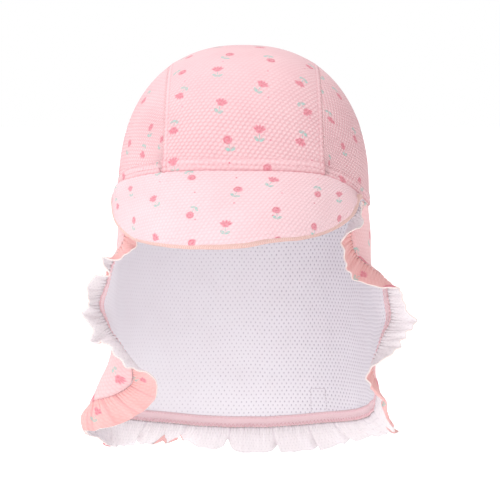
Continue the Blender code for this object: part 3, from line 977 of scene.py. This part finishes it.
def new_group(name):
    """A node group and its one input, the place in millimetres."""
    group = bpy.data.node_groups.new(name, "ShaderNodeTree")
    group.interface.new_socket(name="place", in_out="INPUT", socket_type="NodeSocketVector")
    return group, group.nodes.new("NodeGroupInput").outputs[0]


def finish_group(group, **results):
    """Gives a node group its outputs, all numbers, by name."""
    end = group.nodes.new("NodeGroupOutput")
    for name, value in results.items():
        group.interface.new_socket(name=name, in_out="OUTPUT", socket_type="NodeSocketFloat")
        group.links.new(value, end.inputs[name])
    return group


def print_group():
    """The ditsy print. The place falls in a tile of a half-drop repeat; white noise of the tile
    moves and turns its sprig. Each motif is an ellipse, so the length of the place in the
    ellipse's own units is under 1 inside it, and the least of a flower's is its closeness."""
    group, place = new_group("ditsy_print")
    add = partial(node, group)
    tiles = add("VectorMath MULTIPLY", place, (1 / PRINT_TILE,) * 3)
    across, upward = add("SeparateXYZ", tiles, out=slice(2))

    def tile(seed):
        """A place's millimetres from the middle of its tile's sprig, and the tile's chance."""
        column = add("Math FLOOR", across)
        half = add("Math FRACT", add("Math MULTIPLY", column, 0.5))
        lifted = add("Math ADD", add("Math ADD", upward, half), seed * 0.37)
        row = add("Math FLOOR", lifted)
        corner = add("CombineXYZ", column, row, seed)
        chance = add("TexWhiteNoise", corner, out=1, noise_dimensions="3D")
        x = add("Math SUBTRACT", add("Math SUBTRACT", across, column), 0.5)
        y = add("Math SUBTRACT", add("Math SUBTRACT", lifted, row), 0.5)
        local = add("VectorMath MULTIPLY", add("CombineXYZ", x, y, 0.0), (PRINT_TILE,) * 3)
        wander = add("VectorMath SUBTRACT", chance, (0.5, 0.5, 0.5))
        wander = add("VectorMath MULTIPLY", wander, (PRINT_WANDER, PRINT_WANDER, 0))
        return add("VectorMath SUBTRACT", local, wander), chance

    def closeness(local, motifs):
        """The least distance from the motifs' middles, each in its own ellipse's units."""
        nearest = None
        for x, y, length, width, turn in motifs:
            angle, size = (0, 0, math.radians(turn)), (width, length, 1)
            own = add("Mapping", local, (x, y, 0), angle, size, vector_type="TEXTURE")
            size = add("VectorMath LENGTH", own, out=1)
            nearest = size if nearest is None else add("Math MINIMUM", nearest, size)
        return nearest

    def ink(size, edge, soft):
        """0 from an edge on, rising inwards to 1 over a soft border."""
        return add("MapRange", size, edge, edge - soft, 0.0, 1.0)

    local, chance = tile(1.0)
    upset = add("SeparateXYZ", chance, out=2)
    flipped = add("Math GREATER_THAN", upset, 0.5)
    lean = add("Math FRACT", add("Math MULTIPLY", upset, 7.0))
    lean = add("MapRange", lean, 0.0, 1.0, -SPRIG_LEAN, SPRIG_LEAN)
    turn = add("Math MULTIPLY_ADD", flipped, math.pi, lean)
    local = add("VectorRotate", {"Vector": local, "Angle": turn}, rotation_type="Z_AXIS")
    wobble = add("TexNoise", {"Vector": place, "Scale": 0.9, "Detail": 1.0})
    wobble = add("MapRange", wobble, 0.0, 1.0, -INK_WOBBLE, INK_WOBBLE)
    petals = add("Math ADD", closeness(local, BLOOM), wobble)
    leaves = add("Math ADD", closeness(local, SPRIG), wobble)

    x, y = add("SeparateXYZ", local, out=slice(2))
    radius = add("VectorMath LENGTH", local, out=1)
    bearing = add("Math ARCTAN2", x, y)
    coil = add("Math MULTIPLY_ADD", radius, 3.0, bearing)
    coil = add("MapRange", add("Math SINE", coil), -1.0, 1.0, 0.15, 0.75)
    rose = add("Math MULTIPLY_ADD", radius, 1 / 2.75, wobble)
    second = add("Math GREATER_THAN", add("SeparateXYZ", chance), ROSE_OVER)
    flower = add("Mix FLOAT", {0: second, 2: petals, 3: rose})
    depth = add("Mix FLOAT", {0: second, 2: petals, 3: coil})

    dots, luck = tile(2.0)
    dot = add("VectorMath LENGTH", dots, out=1)
    rare = add("Math GREATER_THAN", add("SeparateXYZ", luck), DOT_OVER)
    dot = add("Math MULTIPLY", ink(dot, 0.75, 0.35), rare)
    bloom = add("Math MAXIMUM", ink(flower, 1.05, INK_SOFT), dot)
    return finish_group(group, bloom=bloom, depth=depth, sprig=ink(leaves, 1.05, 0.25))


def weave_group():
    """Pique knit: the sum of three cosines a third of a turn apart, whose peaks stand in staggered
    rows with a honeycomb of furrows round them, and a product of two sines that deepens the furrows
    along one slant. A pit is where the cosine across and the sum are both high, so it is narrow. A
    slow noise bends the rows a little."""
    group, place = new_group("pique_weave")
    add = partial(node, group)
    bend = add("TexNoise", {"Vector": place, "Scale": 0.03, "Detail": 1.0}, out=1)
    bend = add("VectorMath SUBTRACT", bend, (0.5, 0.5, 0.5))
    bent = add("VectorMath MULTIPLY_ADD", bend, (3.0, 3.0, 0.0), place)
    x, y = add("SeparateXYZ", bent, out=slice(2))
    across = add("Math MULTIPLY", x, 2 * math.pi / CELL_ACROSS)
    down = add("Math MULTIPLY", y, math.pi / CELL_ROW)
    slant = add("Math MULTIPLY", add("Math SINE", across), add("Math SINE", down))
    across = add("Math COSINE", across)
    rows = add("Math COSINE", add("Math MULTIPLY", down, 2.0))
    down = add("Math COSINE", down)
    wave = add("Math MULTIPLY", across, down)
    wave = add("Math MULTIPLY_ADD", wave, 2.0, rows)
    twill = add("Math MULTIPLY_ADD", slant, WEAVE_SLANT, wave)
    height = add("MapRange", twill, -1.7, 1.9, 0.0, 1.0, interpolation_type="SMOOTHSTEP")
    slim = add("Math ABSOLUTE", across)
    slim = add("Math ADD", add("Math MULTIPLY_ADD", slim, 2.0, -2.0), wave)
    pit = add("MapRange", slim, 0.5, 2.7, 0.0, 1.0, interpolation_type="SMOOTHSTEP")
    uneven = add("TexNoise", {"Vector": place, "Scale": 0.35, "Detail": 2.0})
    pit = add("Math MULTIPLY", pit, add("MapRange", uneven, 0.3, 0.7, 0.45, 1.2))
    furrow = add("MapRange", twill, 0.6, -1.7, 0.0, 1.0, interpolation_type="SMOOTHSTEP")
    return finish_group(group, height=height, furrow=furrow, pit=pit)


def finish_material(name, roughness, sheen):
    """A new Principled material, dull, with a knit's sheen at its edges, its nodes and inputs."""
    material = bpy.data.materials.new(name)
    material.use_nodes = True
    tree = material.node_tree
    shader = tree.nodes["Principled BSDF"].inputs
    shader["Roughness"].default_value = roughness
    shader["IOR"].default_value = 1.46
    shader["Specular IOR Level"].default_value = 0.3
    shader["Sheen Weight"].default_value = sheen
    shader["Sheen Roughness"].default_value = 0.5
    return material, tree, shader


def pique(name, ground, pit_shade, relief, weave, ink=None, turn=0.0):
    """Pique knit of polyester: its ground colour, multiplied in the furrows and hollows of the
    weave by a colour of painted shade, with slow patches of shade; relief is the weave's height in
    metres.
    With ink it is the printed outside, whose inks break up a little over the weave, and without it
    the white inside, whose relief is inverted. It reads what the mesh marks: band; line, where
    painted shade falls in creases, gathers, stitch holes and along the hem's lower edge, with faint
    dark seam lines; quiet, which calms the relief and the furrows' painted shade; and on the inside
    a mark of painted shade, which deepens the hollows' shade and greys the cloth towards the
    wearer's left."""
    material, tree, shader = finish_material(name, 0.85, 0.08)
    add = partial(node, tree)
    place = add("UVMap", uv_map="cloth")
    slanted = add("VectorRotate", {"Vector": place, "Angle": turn}, rotation_type="Z_AXIS")
    height, furrow, pit = add("Group", slanted, out=slice(3), node_tree=weave)
    marked = lambda mark: add("Attribute", out=2, attribute_name=mark)
    patch = add("TexNoise", {"Vector": place, "Scale": 0.045, "Detail": 2.0})
    patch = add("MapRange", patch, 0.3, 0.7, 0.0, 1.0)
    light, dark = ground
    colour = blend(tree, patch, light, dark)
    if ink:
        band = marked("band")
        doubled = add("Math MULTIPLY", band, 0.08)
        colour = blend(tree, doubled, colour, "#f7dde1")
        group, rose, petal, leaf = ink
        bloom, depth, sprig = add("Group", place, out=slice(3), node_tree=group)
        bloom = add("Math MULTIPLY", bloom, add("MapRange", height, 0.0, 1.0, 0.75, 1.0))
        sprig = add("Math MULTIPLY", sprig, add("MapRange", height, 0.0, 1.0, 0.5, 0.9))
        tone = blend(tree, depth, rose, petal)
        colour = blend(tree, sprig, colour, leaf)
        colour = blend(tree, bloom, colour, tone)
        # calm sets the weave's relief and the painted shade in its furrows
        calm = add("MapRange", band, 0.0, 1.0, 1.0, 0.6)
        calm = add("Math SUBTRACT", calm, marked("quiet"))
        low = add("Math MULTIPLY", furrow, calm)
    else:
        # Painted shade, rising towards the wearer's left: deeper hollows and a grey over the cloth
        shade_share = marked("painted_shade")
        calm = add("Math MULTIPLY_ADD", shade_share, 0.75, 0.25)
        low = add("Math MULTIPLY", pit, calm)
        # A painted grey shade over the whole cloth, strongest at the wearer's left
        grey = add("Math POWER", shade_share, 4.0)
        low = add("Math MULTIPLY_ADD", grey, 0.22, low, use_clamp=True)
    # Painted shade: the weave's furrows and hollows multiplied towards the shade colour
    shade = blend(tree, low, (1, 1, 1, 1), pit_shade)
    colour = blend(tree, 1.0, colour, shade, blend_type="MULTIPLY")
    # Painted shade along the marked lines: creases, gathers, stitch holes, the hem's lower edge
    colour = blend(tree, marked("line"), colour, "#c9838b" if ink else "#c9bcc4")
    fuzz = add("TexNoise", {"Vector": place, "Scale": 2.2, "Detail": 2.0})
    height = add("Math MULTIPLY", height, calm)
    top = add("Math MULTIPLY_ADD", fuzz, 0.08, height)
    bump = add("Bump", {"Strength": 1.0, "Distance": relief, "Height": top}, invert=not ink)
    tree.links.new(colour, shader["Base Color"])
    tree.links.new(bump, shader["Normal"])
    return material


def ribbed(name, light, dark, pitch, relief, roughness=0.8):
    """Tape, rolled edge or cut edge of a fine knit: ribs across its length at a pitch in
    millimetres, lighter on the ribs, with painted shade in the troughs between them."""
    material, tree, shader = finish_material(name, roughness, 0.06)
    add = partial(node, tree)
    place = add("UVMap", uv_map="cloth")
    x = add("SeparateXYZ", place)
    stray = add("TexNoise", {"Vector": place, "Scale": 0.6, "Detail": 1.0})
    turn = add("Math MULTIPLY", x, 2 * math.pi / pitch)
    turn = add("Math MULTIPLY_ADD", stray, 2.5, turn)
    rib = add("MapRange", add("Math SINE", turn), -1.0, 1.0, 0.0, 1.0)
    # Painted shade: the dark colour lies in the troughs between the ribs
    colour = blend(tree, rib, dark, light)
    bump = add("Bump", {"Strength": 1.0, "Distance": relief, "Height": rib})
    tree.links.new(colour, shader["Base Color"])
    tree.links.new(bump, shader["Normal"])
    return material


def thread(name, light, dark):
    """Polyester thread: a soft gloss, and shade that changes from stitch to stitch."""
    material, tree, shader = finish_material(name, 0.55, 0.0)
    add = partial(node, tree)
    place = add("TexCoord", out=3)
    patch = add("TexNoise", {"Vector": place, "Scale": 400.0, "Detail": 1.0})
    colour = blend(tree, patch, light, dark)
    tree.links.new(colour, shader["Base Color"])
    return material


def build_studio():
    """A pale floor well under the cap, and a world that lights it from the upper left, in
    proportion to how far a direction leans that way, and that the camera sees as plain white."""
    scene = bpy.context.scene
    scene.view_settings.view_transform = "Standard"
    x, z = FLOOR_HALF, FLOOR_Z
    mesh = bpy.data.meshes.new("floor")
    mesh.from_pydata([(-x, -x, z), (x, -x, z), (x, x, z), (-x, x, z)], [], [(0, 1, 2, 3)])
    floor = bpy.data.objects.new("floor", mesh)
    scene.collection.objects.link(floor)
    material, tree, shader = finish_material("matt_white_board", 0.95, 0.0)
    grain = node(tree, "TexNoise", {"Vector": node(tree, "TexCoord", out=3), "Scale": 6.0})
    colour = blend(tree, grain, "#fbfbfb", "#f7f7f7")
    tree.links.new(colour, shader["Base Color"])
    shader["Emission Color"].default_value = (1, 1, 1, 1)
    shader["Emission Strength"].default_value = 0.35
    mesh.materials.append(material)

    world = bpy.data.worlds.new("studio")
    scene.world = world
    world.use_nodes = True
    tree = world.node_tree
    add = partial(node, tree)
    tree.nodes.clear()
    direction = add("TexCoord")
    side = add("VectorMath DOT_PRODUCT", direction, (-0.44, -0.17, 0.88), out=1)
    level = add("MapRange", side, -1.0, 1.0, 0.30, 1.08)
    soft = add("Background", (1, 1, 1, 1), level)
    seen = add("Background", (1, 1, 1, 1), 1.0)
    mixed = add("MixShader", add("LightPath"), soft, seen)
    add("OutputWorld", mixed)


def build_lights():
    """A soft key light from the upper left and a wide, faint fill from the front: for each its
    size, power, place and the height it is aimed at, over the middle of the cap."""
    for name, size, power, place, height in (
        ("key", 0.7, 15, (-0.9, -1.0, 1.6), -0.1),
        ("fill", 1.4, 3.7, (-0.5, -2.0, 0.15), -0.15),
    ):
        lamp = bpy.data.lights.new(name, "AREA")
        lamp.shape = "DISK"
        lamp.size = size
        lamp.energy = power
        light = bpy.data.objects.new(name, lamp)
        bpy.context.scene.collection.objects.link(light)
        light.location = place
        ahead = Vector((0, 0, height)) - light.location
        light.rotation_euler = ahead.to_track_quat("-Z", "Y").to_euler()


def build_camera():
    """Elevation 3 degrees, 1.6 m from the cap; the photograph's frame is 0.3025 m wide there."""
    target, distance, elevation, seen = (0.0038, 0.0, -0.1225), 1.6, math.radians(3), 0.3025
    lens = bpy.data.cameras.new("camera")
    lens.sensor_width = 36
    lens.lens = 36 * distance / seen
    camera = bpy.data.objects.new("camera", lens)
    bpy.context.scene.collection.objects.link(camera)
    camera.location = (
        target[0],
        target[1] - distance * math.cos(elevation),
        target[2] + distance * math.sin(elevation),
    )
    camera.rotation_euler = (math.pi / 2 - elevation, 0, 0)
    bpy.context.scene.camera = camera


def main():
    weave = weave_group()
    ink = print_group(), "#d2707e", "#e69dab", "#97c4bc"
    # The knit's printed face, dry and dull in a dusty pink, with painted shade in its furrows. Its
    # four copies take ground colours set to how each part looks under the light, so painted light:
    # lighter over the foam of the peak, which tilts up to the light, and warmer on the flap and in
    # the frill. Stretched over the crown its weave shows as small hollows, over the foam it is
    # softer, and it lies ever flatter on the hanging flap and in the frill
    grounds = ("#eac4c8", "#e7bec3"), ("#efced3", "#edc9ce")
    crown = pique("printed_pique_knit", grounds[0], "#f0dfe1", 0.00034, weave, ink, turn=0.10)
    foam = pique("printed_pique_over_foam", grounds[1], "#f8f0f1", 0.00028, weave, ink)
    flap = pique("printed_pique_flap", ("#efc5c7", "#ecc0c3"), "#f9f2f2", 0.00018, weave, ink)
    frill = pique("printed_pique_frill", ("#efbcba", "#ebb6b4"), "#fbf5f4", 0.00008, weave, ink)
    # The knit's white inside, cool, with rows of small hollows given a grey painted shade; the
    # frill's inside is warmer, painted light for the print's pink shining through its thinner cloth
    white = ("#f1eef3", "#efebf0"), ("#eee7ea", "#ece4e6")
    inside = pique("white_pique_inside", white[0], "#bcb4bf", 0.00012, weave)
    frill_inside = pique("white_pique_frill_back", white[1], "#b5adb4", 0.00010, weave)
    # Cut edges, a thin cream line of loops; the tape, a clear pink band with fine ribs; and the
    # peak's overlocked edge, coarser ribs of rose thread with a painted brown shade between them
    raw = ribbed("knit_cut_edge", "#f3e7e4", "#eddcd8", 0.9, 0.0001)
    tape = ribbed("edge_tape_jersey", "#fbdfe3", "#f7d3d9", 1.1, 0.00010)
    roll = ribbed("overlocked_peak_edge", "#efd0ca", "#d9a79e", 1.35, 0.0003)
    # Thread with a soft gloss: pale rows on the crown, faint grey ones on the white inside, and
    # rose on the tape
    pale = thread("pink_polyester_thread", "#fadde1", "#efbcc4")
    grey = thread("grey_polyester_thread", "#c6bac4", "#aa9ca7")
    rose = thread("rose_polyester_thread", "#f8d3d8", "#f0bec5")
    build_crown_strip([crown, inside, raw])
    for side in (-1, 1):
        build_crown_side(side, [crown, inside, raw])
    build_peak([foam, foam, roll], roll)
    flap = build_flap([flap, inside, raw])
    edging = [build_tape(tape), build_edge_stitches(rose), build_patch_stitches(grey)]
    build_frill([frill, frill_inside, raw])
    build_crown_stitches(pale)
    build_studio()
    build_lights()
    build_camera()


main()
